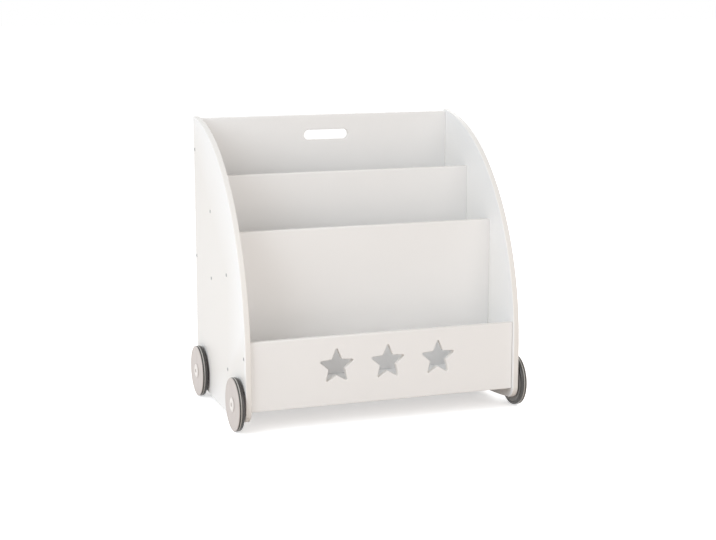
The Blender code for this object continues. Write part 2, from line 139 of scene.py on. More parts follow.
def lacquer_on_fibreboard(node):
    """Each board is cut from its own stretch of the pattern, so many metres along."""
    mat, tree, shader = new_material("satin_lacquer_" + node, IOR=1.5, Coat_Weight=0.10, Coat_Roughness=0.25)
    place = add(tree, "ShaderNodeTexCoord")
    along = CUT_FROM[node]
    moved = add(tree, "ShaderNodeMapping", {"Location": (along, 0.3 * along, 0.0)},
                {"Vector": place.outputs["Object"]})
    spot = {"Vector": moved.outputs["Vector"]}
    drift = add(tree, "ShaderNodeTexNoise", {"Scale": every(160.0), "Detail": 2.0}, spot)
    face = add(tree, "ShaderNodeMix", {"data_type": "RGBA", 6: colour("#EDECEB"), 7: colour("#EAE9E8")},
               {"Factor": drift.outputs["Fac"]})
    fibres = add(tree, "ShaderNodeTexNoise", {"Scale": every(4.0), "Detail": 3.0}, spot)
    band = add(tree, "ShaderNodeMix", {"data_type": "RGBA", 6: colour("#E9E6E2"), 7: colour("#E5E2DE")},
               {"Factor": fibres.outputs["Fac"]})
    edge = add(tree, "ShaderNodeAttribute", {"attribute_name": "marked"})
    paint = add(tree, "ShaderNodeMix", {"data_type": "RGBA"},
                {"Factor": edge.outputs["Fac"], 6: face.outputs[2], 7: band.outputs[2]})
    tree.links.new(paint.outputs[2], shader.inputs["Base Color"])
    dull = add(tree, "ShaderNodeMapRange", {"To Min": 0.36, "To Max": 0.52}, {"Value": edge.outputs["Fac"]})
    tree.links.new(dull.outputs["Result"], shader.inputs["Roughness"])
    peel = add(tree, "ShaderNodeTexNoise", {"Scale": every(5.0), "Detail": 1.0}, spot)
    bump = add(tree, "ShaderNodeBump", {"Strength": 0.05, "Distance": 0.0003},
               {"Height": peel.outputs["Fac"]})
    tree.links.new(bump.outputs["Normal"], shader.inputs["Normal"])
    return mat


print("boards that get a lacquer of their own:", len(CUT_FROM))

# %% [markdown]
# The screws, bolts and nuts are zinc-plated steel. Plated zinc is a grey metal with slightly uneven gloss,
# because the plating grows in small crystals, about 0.1 mm across and drawn at 1.2 mm here. The default
# IOR stays, as for any metal. The side screws are painted a shade darker than the bolts: painted shade of
# the holes they sit in.

# %% Zinc-plated steel
def zinc_plated_steel(name, light, dark):
    """A grey metal whose tone and gloss wander from crystal to crystal."""
    mat, tree, shader = new_material(name, Metallic=1.0)
    place = add(tree, "ShaderNodeTexCoord")
    crystals = add(tree, "ShaderNodeTexNoise", {"Scale": every(1.2), "Detail": 2.0},
                   {"Vector": place.outputs["Object"]})
    tone = add(tree, "ShaderNodeMix", {"data_type": "RGBA", 6: colour(light), 7: colour(dark)},
               {"Factor": crystals.outputs["Fac"]})
    tree.links.new(tone.outputs[2], shader.inputs["Base Color"])
    rough = add(tree, "ShaderNodeMapRange", {"To Min": 0.26, "To Max": 0.44},
                {"Value": crystals.outputs["Fac"]})
    tree.links.new(rough.outputs["Result"], shader.inputs["Roughness"])
    return mat


zinc = zinc_plated_steel("zinc_plated_steel", "#B9BBBB", "#9C9D9B")
# painted shade: the side screws get a darker copy of the zinc, for the holes they sit in
shaded_screw_zinc = zinc_plated_steel("zinc_plated_screw", "#A8AAAA", "#8A8B8A")
print("metals:", zinc.name, shaded_screw_zinc.name)

# %% [markdown]
# The wheels mix moulded materials. The tyre is dark thermoplastic rubber with the satin skin of a polished
# mould, and the band in its tread is a duller rubber painted light grey: a painted highlight of the tyre's
# shoulder. The core is glass-filled nylon, mid grey and dull. The disc on the outer face is a plate painted
# in warm off-white, with a faint upright streak like that of a rolled film, and its edge is painted darker:
# painted shade of the gap to the tyre. The hub cap is glossier acetal, and the dimple in its middle is
# painted darker
# too: painted shade in the hollow. The spacer behind a wheel is plain nylon. Their grain is a fine spark
# texture of about 0.3 mm, drawn at 1.5 to 2 mm, as coarse as it needs to show.

# %% Rubber and moulded plastics
def moulded(name, light, dark, rough, grain_mm, bump_strength, stretch=(1.0, 1.0, 1.0), marked=None):
    """One noise moves tone and roughness, a finer one is the grain, and marked rows may have a tone."""
    mat, tree, shader = new_material(name, IOR=1.5)
    place = add(tree, "ShaderNodeTexCoord")
    spot = {"Vector": place.outputs["Object"]}
    pulled = add(tree, "ShaderNodeMapping", {"Scale": stretch}, spot)
    cloud = add(tree, "ShaderNodeTexNoise", {"Scale": every(9.0), "Detail": 4.0},
                {"Vector": pulled.outputs["Vector"]})
    tone = add(tree, "ShaderNodeMix", {"data_type": "RGBA", 6: colour(light), 7: colour(dark)},
               {"Factor": cloud.outputs["Fac"]})
    if marked:
        rows = add(tree, "ShaderNodeAttribute", {"attribute_name": "marked"})
        tone = add(tree, "ShaderNodeMix", {"data_type": "RGBA", 7: colour(marked)},
                   {"Factor": rows.outputs["Fac"], 6: tone.outputs[2]})
    tree.links.new(tone.outputs[2], shader.inputs["Base Color"])
    gloss = add(tree, "ShaderNodeMapRange", {"To Min": rough[0], "To Max": rough[1]},
                {"Value": cloud.outputs["Fac"]})
    tree.links.new(gloss.outputs["Result"], shader.inputs["Roughness"])
    grain = add(tree, "ShaderNodeTexNoise", {"Scale": every(grain_mm), "Detail": 2.0}, spot)
    bump = add(tree, "ShaderNodeBump", {"Strength": bump_strength, "Distance": 0.0002},
               {"Height": grain.outputs["Fac"]})
    tree.links.new(bump.outputs["Normal"], shader.inputs["Normal"])
    return mat


tyre_rubber = moulded("thermoplastic_rubber_dark", "#454341", "#353331", (0.16, 0.26), 1.5, 0.14)
# painted highlight: the band's light grey stands in for the glint on the tyre's shoulder
highlight_band_rubber = moulded("thermoplastic_rubber_painted_highlight", "#BAB8B3", "#ABA9A4", (0.42, 0.58), 1.5, 0.20)
core_nylon = moulded("glass_filled_nylon", "#9A9896", "#8A8886", (0.40, 0.52), 1.5, 0.25)
# painted shade: the marked tone darkens the disc's edge, where the gap to the tyre falls dark
disc_paint = moulded("painted_disc_off_white", "#CCC3BE", "#C0B7B2", (0.38, 0.52), 2.0, 0.08,
                     stretch=(1.0, 1.0, 0.12), marked="#8E8882")
# painted shade: the marked tone darkens the cap's dimple
cap_acetal = moulded("acetal_off_white", "#E9E3DE", "#E1DAD5", (0.28, 0.38), 2.0, 0.05, marked="#A59D95")
spacer_nylon = moulded("natural_nylon", "#DAD9D3", "#CECDC7", (0.40, 0.52), 1.5, 0.10)
for finish in (tyre_rubber, highlight_band_rubber, core_nylon, disc_paint, cap_acetal, spacer_nylon):
    print("wheel finish:", finish.name)

# %% [markdown]
# ## From arrays to pieces
#
# Every shape below is a grid of points: rows run along one parameter, columns along the other. The faces
# of a grid are the same for any shape, so they are made once from the row and column numbers. A grid that
# ends in an open ring is closed there by a flat face, and every face then points outwards.

# %% Grids and closed meshes
MERGE = 1e-6            # points closer than this are one
SAME_PLANE = 1e-4       # open rings closer than this end in one flat face


def grid_faces(rows, columns, first=0):
    """Quads of a grid whose columns close into a ring.

    Point (r, c) has the number first + r * columns + c, and a quad's corners are (r, c), (r, c + 1),
    (r + 1, c + 1) and (r + 1, c).
    """
    r, c = np.meshgrid(np.arange(rows - 1), np.arange(columns), indexing="ij")
    after = (c + 1) % columns
    corners = [r * columns + c, r * columns + after, (r + 1) * columns + after, (r + 1) * columns + c]
    return first + np.stack(corners, axis=-1).reshape(-1, 4)


def closed_mesh(name, points, faces, marks, flat_axis=None):
    """Merges doubles, fills the open rings that share a plane across flat_axis and turns faces outwards."""
    mesh = bpy.data.meshes.new(name)
    mesh.from_pydata(points, [], faces)
    mesh.attributes.new("marked", "FLOAT", "POINT").data.foreach_set("value", marks)
    bm = bmesh.new()
    bm.from_mesh(mesh)
    bmesh.ops.remove_doubles(bm, verts=bm.verts, dist=MERGE)
    bmesh.ops.dissolve_degenerate(bm, edges=bm.edges, dist=MERGE)
    if flat_axis is not None:
        open_edges = [e for e in bm.edges if e.is_boundary]
        for level in sorted({round(e.verts[0].co[flat_axis], 5) for e in open_edges}):
            rim = [e for e in open_edges if abs(e.verts[0].co[flat_axis] - level) < SAME_PLANE]
            bmesh.ops.triangle_fill(bm, use_beauty=True, edges=rim)
    bmesh.ops.recalc_face_normals(bm, faces=bm.faces)
    gaps = sum(not e.is_manifold for e in bm.edges)
    if gaps:
        print("open edges left on", name, gaps)
    bm.to_mesh(mesh)
    bm.free()
    return mesh


print("a ring of 4 points and 2 rows has", len(grid_faces(2, 4)), "faces")

# %% [markdown]
# A finished piece hides the solid that it stands for, takes its material and rides on its body. Its faces
# shade smoothly, apart from real corners, which stay sharp.

# %% Finished pieces
SLOT_OF = {part["node"]: part["material_slot"] for part in frame["record"]["subparts"]}
BODY_OF = {node: body for body, nodes in frame["record"]["behaviour"]["bodies"].items() for node in nodes}
SHARP = 32.0            # degrees: edges that turn more than this shade as corners


def finished(node, mesh, material):
    """Shades the mesh smooth up to the sharp angle and puts it in the place of a solid."""
    piece = bpy.data.objects.new(node + "_finished", mesh)
    bpy.context.scene.collection.objects.link(piece)
    mesh.materials.append(material)
    mesh.shade_smooth()
    mesh.set_sharp_from_angle(angle=math.radians(SHARP))
    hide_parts(node)
    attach(piece, BODY_OF[node])


print("slots:", sorted(set(SLOT_OF.values())), "bodies:", sorted(set(BODY_OF.values())))

# %% [markdown]
# ## Boards
#
# A sprayed board is a flat sheet with a small rounding on every edge. Bevelling a box would do for a
# rectangle, but the side panels are curved and the front panel has stars in it. So each outline is a ring
# of points, and the edge is that ring carried along a short profile: in from the face, round the arris,
# straight across the thickness, and round again. The two flat faces are filled between the last rings.

# %% Arcs, moved rings and rectangles
BUTTED = 0.12           # the butted ends of a board move in by this share, so they are hardly rounded
END_RADIUS = 0.0003     # rounding of a rectangle's four corners
END_STEPS = 4


def arc(centre, radii, start, end, steps):
    """Points of an ellipse: centre plus radii times (cos, sin), from start to end in degrees."""
    a = np.radians(np.linspace(start, end, steps + 1))
    return np.stack([centre[0] + radii[0] * np.cos(a), centre[1] + radii[1] * np.sin(a)], axis=1)


def moved_out(outline, distance):
    """A ring moved sideways: each point goes that distance times its mitre.

    The mitre is (n1 + n2) / (1 + n1 . n2), where n1 and n2 are the normals of the edges that meet there.
    """
    along = np.roll(outline, -1, axis=0) - outline
    along /= np.linalg.norm(along, axis=1, keepdims=True)
    after = np.stack([along[:, 1], -along[:, 0]], axis=1)
    before = np.roll(after, 1, axis=0)
    return outline + distance * (after + before) / (1.0 + np.sum(after * before, axis=1, keepdims=True))


def rectangle_ring(low, high, inset, end_share=BUTTED):
    """A board with butted ends: the long edges move in by inset, the ends by a share of it."""
    r = max(END_RADIUS - inset, 0.0)
    move = np.array([end_share * inset, inset]) + r
    (x0, y0), (x1, y1) = low + move, high - move
    corners = (((x1, y0), -90), ((x1, y1), 0), ((x0, y1), 90), ((x0, y0), 180))
    return np.concatenate([arc(centre, (r, r), start, start + 90, END_STEPS) for centre, start in corners])


print("a rectangle has", len(rectangle_ring(np.zeros(2), np.ones(2), 0.0)), "points")

# %% [markdown]
# A side panel's front edge is straight at the foot and then leans back in a quarter of an ellipse, which
# would reach its crown a little behind the rear edge. The underside is one shallow arc between two rounded
# corners, so the panel stands clear of the floor.

# %% Outline of a side panel
CURVE_START = 0.140     # the front edge is straight up to here
CROWN_BEHIND = 0.030    # the curve would peak this far behind the rear edge
CURVE_TOP = 0.610
LOW_CORNER = 0.030
TOP_CORNER = 0.004
TOP_FROM = 84           # degrees: where the curve meets the small corner at the rear top
UNDERSIDE = 1.25        # radius of the shallow arc along the underside
TOP_STEPS, FOOT_STEPS, UNDERSIDE_STEPS, CURVE_STEPS = 7, 14, 40, 144


def side_outline():
    """Ring of a side panel: down the curve and the front edge, along the underside and up the rear edge.

    The underside's arc meets a corner asin((depth / 2 - corner) / (arc - corner)) away from straight down.
    The ellipse is as high as it must be to pass the rear edge at the curve's top.
    """
    between = UNDERSIDE - LOW_CORNER
    lean = math.asin(((REAR - FRONT) / 2 - LOW_CORNER) / between)
    arch_z = side_low[2] + UNDERSIDE
    low_z = arch_z - between * math.cos(lean)
    rear_end, front_end = 270 + math.degrees(lean), 270 - math.degrees(lean)
    reach = REAR - FRONT + CROWN_BEHIND
    crown = FRONT + reach
    rise = (CURVE_TOP - CURVE_START) / math.sin(math.acos((REAR - crown) / reach))
    end = math.acos((REAR - TOP_CORNER - crown) / reach)
    corner_z = CURVE_START + rise * math.sin(end) - TOP_CORNER
    foot = (LOW_CORNER, LOW_CORNER)
    middle = ((FRONT + REAR) / 2, arch_z)
    underside = arc(middle, (UNDERSIDE, UNDERSIDE), rear_end, front_end, UNDERSIDE_STEPS)
    return np.concatenate([
        arc((REAR - TOP_CORNER, corner_z), (TOP_CORNER, TOP_CORNER), TOP_FROM, 0, TOP_STEPS),
        arc((REAR - LOW_CORNER, low_z), foot, 360, rear_end, FOOT_STEPS),
        underside[1:-1],
        arc((FRONT + LOW_CORNER, low_z), foot, front_end, 180, FOOT_STEPS),
        arc((crown, CURVE_START), (reach, rise), 180, math.degrees(end), CURVE_STEPS),
    ])[::-1]


print("side outline:", len(side_outline()), "points")

# %% [markdown]
# The stars are five-pointed, with tips rounded by the cutter. Each tip is a short arc that touches both
# flanks, and the inner corners stay sharp. The handle slot is a bar with half-round ends.

# %% Stars and handle slot
STAR_RADIUS = 0.0416
STAR_WAIST = 0.45       # inner corners as a share of the radius
TIP_ROUND = 0.0028
STAR_PITCH = 0.1115
STAR_SHIFT = 0.0065     # the row sits this far to the right of the middle
STAR_BELOW = 0.0635     # centres below the top of the front panel
SLOT_LENGTH = 0.104
SLOT_HEIGHT = 0.022
SLOT_BELOW = 0.044      # centre below the top of the back panel
TIP_STEPS, SLOT_STEPS = 8, 20


def star_outline(centre_x, centre_z):
    """Sharp tips would lie at the star's radius every 72 degrees; inner corners lie halfway between them.

    The centre of a tip's arc lies back from there by round / sin(half), half being half the tip's angle.
    """
    waist = STAR_RADIUS * STAR_WAIST
    half = math.atan2(waist * math.sin(math.radians(36)), STAR_RADIUS - waist * math.cos(math.radians(36)))
    back = STAR_RADIUS - TIP_ROUND / math.sin(half)
    sweep = 90 - math.degrees(half)
    points = []
    for tip in range(90, 450, 72):
        t, w = math.radians(tip), math.radians(tip + 36)
        centre = (back * math.cos(t), back * math.sin(t))
        points.append(arc(centre, (TIP_ROUND, TIP_ROUND), tip - sweep, tip + sweep, TIP_STEPS))
        points.append(np.array([[waist * math.cos(w), waist * math.sin(w)]]))
    return np.concatenate(points) + (centre_x, centre_z)


def slot_outline(centre_z):
    """Two half circles whose centres lie half the height in from the ends, joined by straight edges."""
    end = SLOT_HEIGHT / 2
    reach = SLOT_LENGTH / 2 - end
    return np.concatenate([arc((reach, centre_z), (end, end), -90, 90, SLOT_STEPS),
                           arc((-reach, centre_z), (end, end), 90, 270, SLOT_STEPS)])


print("star outline:", len(star_outline(0.0, 0.0)), "points, slot:", len(slot_outline(0.0)))

# %% [markdown]
# The edge profile is written as two arrays: how far in from the outline, and how deep from the face. The
# rows with little inset are the cut edge, and they carry the value 1 in the attribute that the lacquer
# reads.

# %% Edge profile and board builder
ARRIS_STEPS = 4
CUT_ARRIS = 0.0009      # stars and slot are only broken with abrasive paper
EDGE_SHARE = 0.5        # rows with less inset than this share of the arris are cut edge


def edge_profile(arris):
    """Insets and depths of the rows: a flat strip, a quarter round, the edge, and the same again.

    At angle a the quarter round's inset is arris * (1 - sin a), and its depth arris * (1 - cos a).
    """
    a = np.radians(np.linspace(0, 90, ARRIS_STEPS + 1))
    into = arris * (1 - np.sin(a))
    deep = arris * (1 - np.cos(a))
    flat = arris + SOFT
    return (np.concatenate([[flat], into, [0.0, 0.0], into[::-1], [flat]]),
            np.concatenate([[0.0], deep, [flat, BOARD - flat], BOARD - deep[::-1], [BOARD]]))


def board_points(rings, deep, plane, origin, outward):
    """Puts rings in space: the axis that the plane leaves out is origin less outward times depth."""
    away = origin - outward * np.repeat(deep[:, None], rings.shape[1], axis=1)
    order = {"side": (away, rings[..., 0], rings[..., 1]),
             "front": (rings[..., 0], away, rings[..., 1]),
             "flat": (rings[..., 0], rings[..., 1], away)}[plane]
    return np.stack(order, axis=-1).reshape(-1, 3)


def board_mesh(name, loops, plane, origin, outward):
    """Each loop is (ring_at(inset), insets, depths): the outer edge first, then the holes."""
    points, faces, bands = [], [], []
    first = 0
    for ring_at, insets, deep in loops:
        rings = np.stack([ring_at(inset) for inset in insets])
        rows, columns = rings.shape[:2]
        points.append(board_points(rings, np.asarray(deep), plane, origin, outward))
        faces.append(grid_faces(rows, columns, first))
        bands.append(np.repeat(np.asarray(insets) < EDGE_SHARE * ARRIS, columns).astype(float))
        first += rows * columns
    flat_axis = {"side": 0, "front": 1, "flat": 2}[plane]
    return closed_mesh(name, np.concatenate(points), np.concatenate(faces).tolist(),
                       np.concatenate(bands), flat_axis)


EDGE = edge_profile(ARRIS)
CUT_EDGE = edge_profile(CUT_ARRIS)
print("edge profile rows:", len(EDGE[0]))

# %% [markdown]
# The side panels are drilled for the side screws and the wheel bolts. A screw hole has a countersink on
# the outer face and a narrower bore behind it, so its ring shrinks with depth. A grid of rings takes that
# as easily as a straight hole: only the row's radius changes.

# %% Holes in the side panels
SCREW_HEAD = 0.004
SCREW_SHANK = 0.0021
BOLT_BORE = 0.0043
RIM = 0.0006            # flat strip round a screw hole, and depth of its straight wall
RIM_BREAK = 0.0002      # chamfer of a screw hole
BOLT_BREAK = 0.0004     # chamfer of a bolt hole
HOLE_POINTS = 32


def circle_at(centre, radius):
    """A ring of radius plus inset about a centre."""
    def ring(inset):
        return arc(centre, (radius + inset, radius + inset), 0, 360 - 360 / HOLE_POINTS, HOLE_POINTS - 1)
    return ring


def centre_of(node):
    """Middle of a solid's box: half the sum of its two corners."""
    low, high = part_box(node)
    return (low + high) / 2


room = SCREW_HEAD + GAP
narrow = SCREW_SHANK + GAP - room
SCREW_HOLE = (np.array([RIM, RIM_BREAK, 0.0, 0.0, narrow, narrow]),
              np.array([0.0, 0.0, RIM_BREAK, RIM, RIM - narrow, BOARD]))
BOLT_HOLE = (np.array([BOLT_BREAK, 0.0, 0.0, BOLT_BREAK]),
             np.array([0.0, BOLT_BREAK, BOARD - BOLT_BREAK, BOARD]))
print("screw hole rows:", len(SCREW_HOLE[0]), "bolt hole rows:", len(BOLT_HOLE[0]))

# %% [markdown]
# Each side panel is one outline with all its holes. The places of the holes are read from the screws and
# bolts themselves, so they meet. The two panels mirror each other: only the sign of the side differs.

# %% Side panels
side_nodes = [n for n in SLOT_OF if "_screw_" in n or n.startswith("axle_bolt")]
for side_name, side in SIDES.items():
    outline = side_outline()
    loops = [(lambda inset, ring=outline: moved_out(ring, -inset), *EDGE)]
    for node in side_nodes:
        if side_name in node:
            _, y, z = centre_of(node)
            bolt = node.startswith("axle_bolt")
            radius, hole = (BOLT_BORE, BOLT_HOLE) if bolt else (room, SCREW_HOLE)
            loops.append((circle_at((y, z), radius), *hole))
    node = "side_panel_" + side_name
    mesh = board_mesh(node, loops, "side", side * HALF_WIDTH, side)
    finished(node, mesh, lacquer_on_fibreboard(node))
    print(node, len(loops) - 1, "holes,", len(mesh.polygons), "faces")

# %% [markdown]
# The bay floors lie in shallow grooves of the standing boards. A groove is cut with a Boolean while the
# mesh is still bare, and the cutter is thrown away. The cutter runs a little past the ends of the board, so
# that no face of the two coincides.

# %% Grooves
REACH = 0.002           # how far a groove's cutter runs past the ends of a board


def grooved(mesh, boxes):
    """The mesh less these boxes; a box's corner is its lowest corner plus 0 or 1 times its size."""
    corners = np.array([[x, y, z] for x in (0, 1) for y in (0, 1) for z in (0, 1)])
    sides = np.array([[0, 1, 3, 2], [4, 6, 7, 5], [0, 4, 5, 1], [2, 3, 7, 6], [0, 2, 6, 4], [1, 5, 7, 3]])
    points = np.concatenate([low + corners * (high - low) for low, high in boxes])
    faces = np.concatenate([sides + 8 * i for i in range(len(boxes))])
    cutter_mesh = bpy.data.meshes.new("groove_cutter")
    cutter_mesh.from_pydata(points, [], faces.tolist())
    cutter = bpy.data.objects.new("groove_cutter", cutter_mesh)
    bare = bpy.data.objects.new("bare_board", mesh)
    for part in (cutter, bare):
        bpy.context.scene.collection.objects.link(part)
    step = bare.modifiers.new("groove", "BOOLEAN")
    step.operation = "DIFFERENCE"
    step.solver = "EXACT"
    step.object = cutter
    ready = bpy.data.meshes.new_from_object(bare.evaluated_get(bpy.context.evaluated_depsgraph_get()))
    for part in (cutter, bare):
        bpy.data.objects.remove(part)
    return ready


FLOORS = ("front_bay_floor", "middle_bay_floor", "rear_bay_floor")
floor_boxes = {node: [np.array(corner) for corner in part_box(node)] for node in FLOORS}
print("grooves are cut for:", ", ".join(FLOORS))

# %% [markdown]
# The standing boards are rectangles, and two of them have cut-outs. Their ends are glued to the side
# panels. Only the ends of the front panel are rounded like its long edges, so a fine line shows there.

# %% Standing boards
VISIBLE_JOINT = 1.0     # the front panel's ends are rounded by this share
CLOSER = 0.00022        # the glued ends stand closer to the side panels than the solids do
for node in ("back_panel", "rear_divider", "front_divider", "front_panel"):
    low, high = (np.array(corner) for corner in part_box(node))
    share, closer = (VISIBLE_JOINT, 0.0) if node == "front_panel" else (BUTTED, CLOSER)
    flat_low, flat_high = low[[0, 2]] - (closer, 0.0), high[[0, 2]] + (closer, 0.0)
    loops = [(lambda inset, a=flat_low, b=flat_high, e=share: rectangle_ring(a, b, inset, e), *EDGE)]
    if node == "back_panel":
        hand = slot_outline(high[2] - SLOT_BELOW)
        loops.append((lambda inset, ring=hand: moved_out(ring, inset), *CUT_EDGE))
    if node == "front_panel":
        for i in (-1, 0, 1):
            star = star_outline(STAR_SHIFT + i * STAR_PITCH, high[2] - STAR_BELOW)
            loops.append((lambda inset, ring=star: moved_out(ring, inset), *CUT_EDGE))
    mesh = board_mesh(node, loops, "front", low[1], -1.0)
    boxes = [(floor_low - (REACH, GAP, GAP), floor_high + (REACH, GAP, GAP))
             for floor_low, floor_high in floor_boxes.values()
             if floor_low[1] < high[1] and floor_high[1] > low[1]]
    mesh = grooved(mesh, boxes)
    finished(node, mesh, lacquer_on_fibreboard(node))
    print(node, len(loops) - 1, "cut-outs,", len(boxes), "grooves,", len(mesh.polygons), "faces")

# %% [markdown]
# The bay floors are plain boards that lie flat. A bevelled cube would do, but the rectangle and the
# profile are here already, and they mark the cut edges for the lacquer.

# %% Bay floors
for node, (low, high) in floor_boxes.items():
    loops = [(lambda inset, a=low[:2], b=high[:2]: rectangle_ring(a, b, inset), *EDGE)]
    mesh = board_mesh(node, loops, "flat", high[2], 1.0)
    finished(node, mesh, lacquer_on_fibreboard(node))
    print(node, len(mesh.polygons), "faces")

# %% [markdown]
# ## Turned pieces
#
# Tyres, discs, bolts and screws are all surfaces of revolution, or nearly so. A lathe could be imitated
# with the Screw modifier, but a grid of angle and profile row does more: a row may have a radius that
# depends on the angle, which gives hexagons, and one that depends on both gives a screw thread.
#
# A profile is a row of corners. Each has a radius and a station, which is its distance outwards from the
# side panel's outer face, and is rounded by its own small curve.

# %% Profiles
ROUND_STEPS = 4
NEAR_LIMIT = 0.42       # a rounding takes at most this share of an edge
FAR_LIMIT = 0.48        # and the extra row beside it stays within this share
FAR_REACH = 1.5         # the extra row lies this many roundings from the corner
FAR_MORE = 0.0002       # and this much more


def soften(profile):
    """Rounds a profile of rows (radius, station, size of the rounding).

    Corner C becomes (1 - t)^2 A + 2 t (1 - t) C + t^2 B, with A and B on its edges, size away. An extra
    row on each side, a little further out, keeps the straight parts looking straight.
    """
    profile = np.asarray(profile, float)
    corner, size = profile[:, :2], profile[:, 2:]
    t = np.linspace(0.0, 1.0, ROUND_STEPS + 1)[None, :, None]
    rows = []
    for shift in (1, -1):
        edge = np.roll(corner, shift, axis=0) - corner
        length = np.linalg.norm(edge, axis=1, keepdims=True)
        unit = edge / np.maximum(length, MERGE)
        near = np.minimum(size, NEAR_LIMIT * length)
        far = np.where(size > 0, np.minimum(FAR_REACH * near + FAR_MORE, FAR_LIMIT * length), 0.0)
        rows.append((corner + unit * near, corner + unit * far))
    (a, a_far), (b, b_far) = rows
    curve = (1 - t) ** 2 * a[:, None] + 2 * t * (1 - t) * corner[:, None] + t ** 2 * b[:, None]
    return np.concatenate([a_far[:, None], curve, b_far[:, None]], axis=1).reshape(-1, 2)


print("each corner becomes", ROUND_STEPS + 3, "rows")

# %% [markdown]
# A turned piece is then a grid with a row for each point of the profile and a column for each angle. It
# takes the height and depth of its axle from the middle of its solid.

# %% Turned surfaces
TURN_STEPS = 144


def angles(steps):
    """Angles of the columns in radians: 2 pi times 0, 1, 2 and so on, over steps."""
    return 2 * math.pi * np.arange(steps) / steps


def hexagon(flats, steps):
    """Radius of a hexagon over the angle: half the flats over cos of the angle to the nearest flat."""
    a = angles(steps)
    return flats / 2 / np.cos((a + math.pi / 6) % (math.pi / 3) - math.pi / 6)


def turned(node, radius, station, material, closed=True, marked=None):
    """A grid round an axle: row k at angle a lies radius[k, a] from it, station[k] along it.

    The point is (station, y + radius * sin a, z - radius * cos a), with y and z from the solid's middle.
    """
    radius = np.asarray(radius, float)
    station = np.asarray(station, float)
    if radius.ndim == 1:
        radius = np.repeat(radius[:, None], TURN_STEPS, axis=1)
    marked = np.zeros(len(station)) if marked is None else np.asarray(marked, float)
    if closed:
        radius, station, marked = (np.concatenate([rows, rows[:1]]) for rows in (radius, station, marked))
    rows, steps = radius.shape
    side = SIDES["left" if "_left" in node else "right"]
    _, y, z = centre_of(node)
    a = angles(steps)[None, :]
    x = side * (HALF_WIDTH + np.repeat(station[:, None], steps, axis=1))
    points = np.stack([x, y + radius * np.sin(a), z - radius * np.cos(a)], axis=-1).reshape(-1, 3)
    mesh = closed_mesh(node, points, grid_faces(rows, steps).tolist(), np.repeat(marked, steps))
    finished(node, mesh, material)


print("steps round an axle:", TURN_STEPS)

# %% [markdown]
# The side screws are countersunk, with a hexagon socket. Their rows run from the middle of the socket's
# floor, up its six walls, across the head, down the cone and along the shank to the tip.

# %% Side screws
SOCKET = 0.004          # across the flats
SOCKET_DEPTH = 0.0020
FLOOR_ROUND = 0.0002    # rounding round the floor of the socket
FOOT_WIDTH = 0.93       # share of the socket's width at its floor
LIP_WIDTH = 1.06        # just below its mouth
MOUTH_WIDTH = 1.14      # and at its mouth
MOUTH = 0.0003          # the socket widens a little from here up
HEAD_RIM = 0.0004       # straight rim of the head, above the cone
RIM_ROUND = 0.00012     # the rim's outer edge is broken by this
RIM_FULL = 0.00022      # and full from this depth
SCREW_LENGTH = 0.040
SCREW_TIP = 0.003       # length of the narrowing tip
SCREW_STEPS = 48
socket = hexagon(SOCKET, SCREW_STEPS)
round_row = np.ones(SCREW_STEPS)
cone = SCREW_HEAD - SCREW_SHANK
screw_rows = [
    (0.0 * round_row, -SOCKET_DEPTH),
    (FOOT_WIDTH * socket, -SOCKET_DEPTH + FLOOR_ROUND),
    (socket, -SOCKET_DEPTH + 2 * FLOOR_ROUND),
    (socket, -MOUTH),
    (LIP_WIDTH * socket, -MOUTH / 6),
    (MOUTH_WIDTH * socket, 0.0),
    ((SCREW_HEAD - HEAD_RIM) * round_row, 0.0),
    ((SCREW_HEAD - RIM_ROUND) * round_row, -RIM_ROUND / 2),
    (SCREW_HEAD * round_row, -RIM_FULL),
    (SCREW_HEAD * round_row, -HEAD_RIM),
    (SCREW_SHANK * round_row, -HEAD_RIM - cone),
    (SCREW_SHANK * round_row, -SCREW_LENGTH + SCREW_TIP),
    (0.5 * SCREW_SHANK * round_row, -SCREW_LENGTH + SCREW_TIP / 6),
    (0.0 * round_row, -SCREW_LENGTH),
]
screw_radius = np.stack([row for row, _ in screw_rows])
screw_station = np.array([s for _, s in screw_rows])
screws = [n for n in SLOT_OF if "_screw_" in n]
for node in screws:
    turned(node, screw_radius, screw_station, shaded_screw_zinc, closed=False)
print("side screws:", len(screws))

# %% [markdown]
# Each wheel turns on a bolt that passes through the side panel and ends in a flanged lock nut inside. The
# bolt's thread is one formula: the radius falls by a triangle wave of the height along the bolt, and the
# wave is shifted by one pitch over a full turn, which makes it climb.

# %% Axle bolts
BOLT = 0.004
THREAD_PITCH = 0.00125
THREAD_DEPTH = 0.0006
THREAD_ROWS = 8         # rows for one turn
THREAD_START = 0.0005   # behind the inner face of the side panel
THREAD_STOP = 0.0008    # before the bolt's end
BOLT_POINT = 0.0006     # length of the chamfer at the bolt's end, which is twice as deep as the thread
BOLT_STEPS = 48
HEAD = 0.007
HEAD_HEIGHT = 0.0026
HEAD_EDGE = 0.001       # height of the head's straight edge
HEAD_BEVEL = 0.002      # the top of the head is narrower by this
bolt_low, bolt_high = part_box("axle_bolt_rear_right")
head_top = bolt_high[0] - HALF_WIDTH
bolt_end = bolt_low[0] - HALF_WIDTH
head = soften([
    (0.0, head_top, 0.0),
    (HEAD - HEAD_BEVEL, head_top, 0.001),
    (HEAD, head_top - HEAD_HEIGHT + HEAD_EDGE, 0.0006),
    (HEAD, head_top - HEAD_HEIGHT, 0.0001),
    (BOLT, head_top - HEAD_HEIGHT, 0.0),
])
thread_from = -BOARD - THREAD_START
run = np.arange(thread_from, bolt_end + THREAD_STOP, -THREAD_PITCH / THREAD_ROWS)
wave = (run[:, None] / THREAD_PITCH + angles(BOLT_STEPS)[None, :] / (2 * math.pi)) % 1.0
fade = np.clip((thread_from - run) / THREAD_PITCH, 0.0, 1.0)[:, None]
